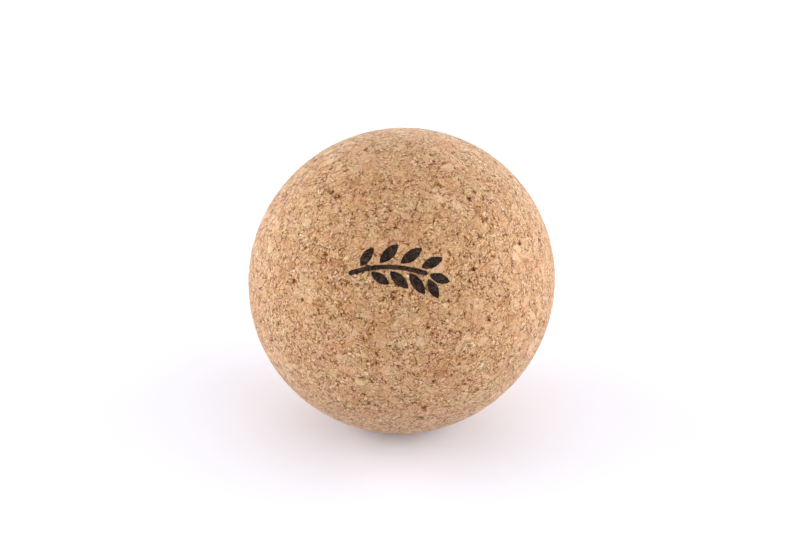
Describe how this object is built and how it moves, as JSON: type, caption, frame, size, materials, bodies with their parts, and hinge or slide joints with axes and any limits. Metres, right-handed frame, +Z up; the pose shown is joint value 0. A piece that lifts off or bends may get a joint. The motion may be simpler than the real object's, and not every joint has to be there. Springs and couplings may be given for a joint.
{
  "type": "massage ball",
  "caption": "Solid ball of agglomerated cork for rolling out muscles and fascia, with a dark leaf sprig printed on the front.",
  "frame": {"origin": "centre of the ball, 40 mm above the surface that it rests on", "axes": "+Z up; the print is on the side that faces -Y, and its centre leans 33 degrees above the equator, as the ball lies in the picture; +X is to the right of a viewer who faces the print"},
  "size_m": [0.08, 0.08, 0.08],
  "materials": {
    "cork": "matte",
    "ink": "matte"
  },
  "bodies": {
    "root": {"cork_ball": "cork", "ink_emblem": "ink"}
  },
  "joints": []
}
